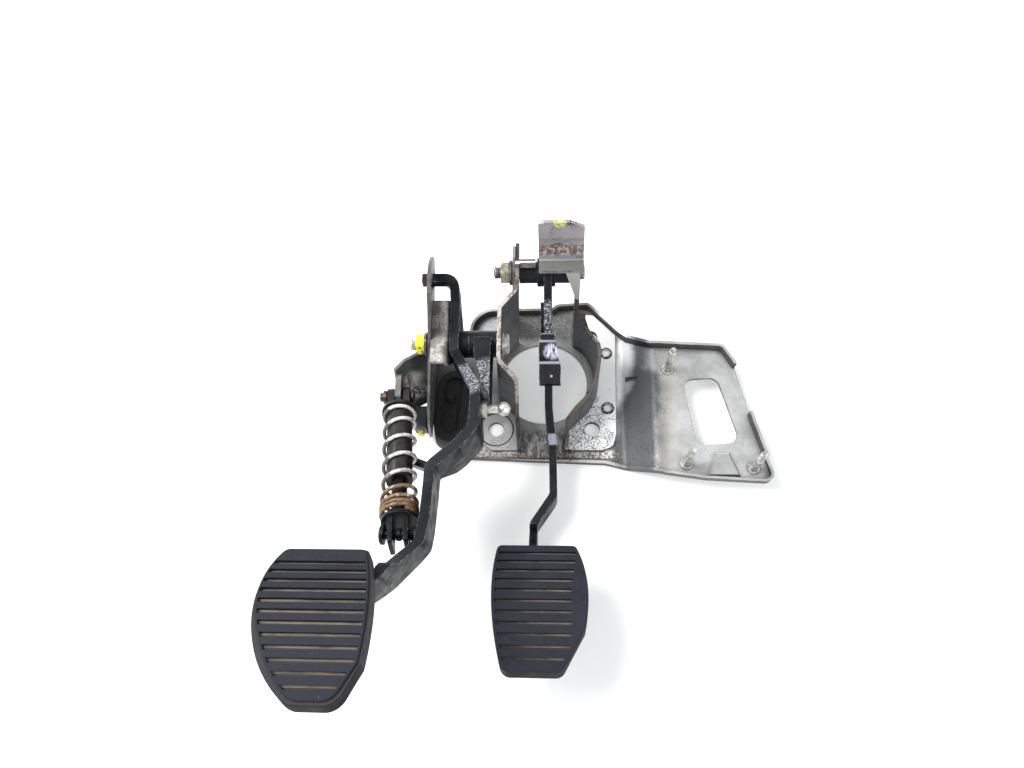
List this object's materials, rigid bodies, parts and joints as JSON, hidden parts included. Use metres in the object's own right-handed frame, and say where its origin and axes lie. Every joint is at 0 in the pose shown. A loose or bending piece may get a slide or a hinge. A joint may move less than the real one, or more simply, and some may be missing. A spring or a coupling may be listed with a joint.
{
  "type": "car pedal box",
  "caption": "Car pedal box: clutch and brake pedals hung in a sheet-metal bulkhead bracket, with an assist spring and a stud plate for the accelerator pedal.",
  "frame": {"origin": "centre of the four servo bolt holes, on the face that bears on the bulkhead", "axes": "+X towards the accelerator pedal, +Y up along the bulkhead, +Z from the bulkhead to the driver"},
  "size_m": [0.2903, 0.2891, 0.1783],
  "materials": {
    "galvanised_sheet": "dull galvanised sheet with rust at the edges",
    "bracket_sheet": "dull galvanised sheet",
    "side_sheet": "dull galvanised sheet",
    "zinc_hardware": "yellowish zinc",
    "black_tube": "satin black",
    "arm_steel": "worn dark phosphate",
    "bush_plastic": "matte",
    "black_plastic": "matte",
    "grey_plastic": "matte",
    "yellow_plastic": "matte",
    "rod_steel": "turned steel",
    "spring_steel": "pale coating with rust at one end",
    "pad_rubber": "worn matte rubber"
  },
  "bodies": {
    "frame": {"bulkhead_plate": "galvanised_sheet", "accelerator_studs": "galvanised_sheet", "bracket_left_cheek": "bracket_sheet", "bracket_right_cheek": "bracket_sheet", "dash_tab": "bracket_sheet", "pivot_stay": "bracket_sheet", "clutch_side_plate": "side_sheet", "clutch_channel": "side_sheet", "spring_anchor": "side_sheet", "clutch_grommet": "pad_rubber", "brake_pivot_bolt": "zinc_hardware", "brake_pivot_washer": "zinc_hardware", "brake_pivot_nut": "zinc_hardware", "brake_spacer_tube": "black_tube", "clutch_pivot_bolt": "zinc_hardware", "clutch_pivot_washer": "zinc_hardware", "clutch_pivot_nut": "zinc_hardware", "clutch_spacer_tube": "black_tube", "clutch_switch": "grey_plastic", "switch_plunger": "yellow_plastic", "spring_anchor_pin": "zinc_hardware"},
    "brake_pedal": {"brake_arm": "arm_steel", "brake_hub": "arm_steel", "brake_bush": "bush_plastic", "brake_pin_clip": "black_plastic", "brake_doubler": "arm_steel", "brake_pad": "pad_rubber", "brake_pad_plate": "arm_steel"},
    "clutch_pedal": {"clutch_arm": "arm_steel", "clutch_hub": "arm_steel", "clutch_bush": "bush_plastic", "clutch_hub_sleeve": "black_tube", "clutch_strut": "arm_steel", "clutch_ball_pin": "zinc_hardware", "switch_tongue": "arm_steel", "spring_ball_pin": "black_tube", "clutch_pad": "pad_rubber", "clutch_pad_plate": "arm_steel"},
    "assist_sleeve": {"spring_sleeve": "black_plastic", "assist_spring": "spring_steel"},
    "assist_rod": {"spring_rod": "rod_steel"}
  },
  "joints": [
    {"name": "brake_hinge", "type": "hinge", "parent": "frame", "child": "brake_pedal", "pos_m": [0, 0.037, 0.102], "axis": [-1, 0, 0], "range_deg": [0, 28]},
    {"name": "clutch_hinge", "type": "hinge", "parent": "frame", "child": "clutch_pedal", "pos_m": [0, 0.001, 0.07], "axis": [1, 0, 0], "range_deg": [0, 33], "stiffness_Nm_per_rad": 2, "springref_deg": -28.65},
    {"name": "sleeve_swing", "type": "hinge", "parent": "frame", "child": "assist_sleeve", "pos_m": [-0.098, -0.0295, 0.05], "axis": [1, 0, 0], "range_deg": [0, 42.5]},
    {"name": "rod_slide", "type": "slide", "parent": "assist_sleeve", "child": "assist_rod", "axis": [0.1432, -0.9062, 0.3978], "range_m": [-0.0137, 0], "deforming": ["assist_spring"]}
  ],
  "couplings": [
    {"joint": "sleeve_swing", "follows": "clutch_hinge", "ratio": 1.2585},
    {"joint": "rod_slide", "follows": "clutch_hinge", "m_per_rad": -0.023166}
  ]
}
